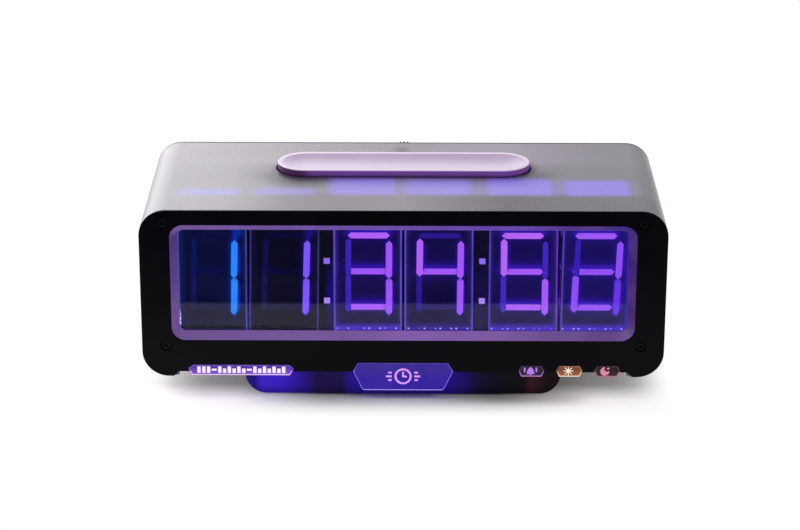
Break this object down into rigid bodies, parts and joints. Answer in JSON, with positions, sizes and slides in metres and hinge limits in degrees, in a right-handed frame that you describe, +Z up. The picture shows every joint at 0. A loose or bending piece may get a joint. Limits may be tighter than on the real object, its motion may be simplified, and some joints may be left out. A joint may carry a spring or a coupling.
{
  "type": "edge-lit digital clock",
  "caption": "Desk clock with edge-lit digits made of engraved clear plates behind a framed window, with a dished snooze bar on top and setting controls at the rear.",
  "frame": {"origin": "on the table under the middle of the whole clock: middle of the width, middle of the depth from the front face to the end of the rear knob, bottom of the rubber feet", "axes": "+X to the right as the clock is read, +Y from the front to the rear, +Z up"},
  "size_m": [0.23, 0.11, 0.0915],
  "materials": {
    "bezel_black": "satin",
    "violet_acrylic": "polished",
    "clear_acrylic": "polished",
    "digit_acrylic": "polished",
    "smoked_acrylic": "satin",
    "panel_black": "satin",
    "brass": "machined",
    "steel": "plain",
    "dark_steel": "blackened",
    "aluminium": "sheet",
    "dark_plastic": "moulded",
    "circuit_board": "solder mask",
    "chip_white": "moulded",
    "diffuser": "frosted",
    "lit_plate": "edge-lit",
    "bar_acrylic": "frosted",
    "pod_gloss": "gloss",
    "chip_black": "moulded",
    "capacitor_sleeve": "shrink sleeve",
    "cable_film": "film",
    "rubber": "moulded",
    "ballast_steel": "plain"
  },
  "bodies": {
    "housing": {"front_bezel": "bezel_black", "window_frame": "violet_acrylic", "front_pane": "clear_acrylic", "outer_sleeve": "smoked_acrylic", "bottom_panel": "panel_black", "rear_cover": "panel_black", "corner_pillars": "brass", "bezel_screws": "dark_steel", "rear_screws": "dark_steel", "digit_1": "digit_acrylic", "digit_2": "digit_acrylic", "digit_3": "digit_acrylic", "digit_4": "digit_acrylic", "digit_5": "digit_acrylic", "digit_6": "digit_acrylic", "lower_comb": "dark_plastic", "upper_comb": "dark_plastic", "side_brackets": "aluminium", "rear_mask": "panel_black", "colon_posts": "dark_plastic", "colon_lights": "diffuser", "colon_boards": "circuit_board", "display_board": "circuit_board", "display_spacers": "aluminium", "display_leds": "chip_white", "indicator_board": "circuit_board", "indicator_leds": "chip_white", "label_plate": "lit_plate", "badge_plate": "lit_plate", "bell_plate": "lit_plate", "sun_plate": "lit_plate", "moon_plate": "lit_plate", "snooze_springs": "steel", "snooze_bracket": "aluminium", "snooze_switch": "dark_plastic", "bracket_screws": "steel", "main_board": "circuit_board", "board_standoffs": "brass", "board_screws": "steel", "controller_module": "steel", "cell_holder": "dark_plastic", "coin_cell": "steel", "capacitors": "capacitor_sleeve", "driver_chips": "chip_black", "usb_socket": "steel", "link_cable": "cable_film", "base_pod": "pod_gloss", "base_screws": "steel", "ballast_plate": "ballast_steel", "sounder": "dark_plastic", "rubber_feet": "rubber", "encoder": "steel", "encoder_nut": "steel", "rear_board": "circuit_board", "rear_fittings": "dark_steel"},
    "snooze_bar": {"snooze_bar": "bar_acrylic"},
    "setting_knob": {"rear_knob": "dark_plastic", "knob_shaft": "steel"},
    "mode_button": {"mode_button": "dark_plastic"},
    "set_button": {"set_button": "dark_plastic"}
  },
  "joints": [
    {"name": "snooze_press", "type": "slide", "parent": "housing", "child": "snooze_bar", "axis": [0, 0, -1], "range_m": [0, 0.0015], "stiffness_N_per_m": 400, "springref_m": -0.0025, "deforming": ["snooze_springs"]},
    {"name": "knob_turn", "type": "hinge", "parent": "housing", "child": "setting_knob", "pos_m": [0, 0.04, 0.0746], "axis": [0, 1, 0], "continuous": true},
    {"name": "mode_press", "type": "slide", "parent": "housing", "child": "mode_button", "axis": [0, -1, 0], "range_m": [0, 0.0008], "stiffness_N_per_m": 400, "springref_m": -0.001},
    {"name": "set_press", "type": "slide", "parent": "housing", "child": "set_button", "axis": [0, -1, 0], "range_m": [0, 0.0008], "stiffness_N_per_m": 400, "springref_m": -0.001}
  ]
}
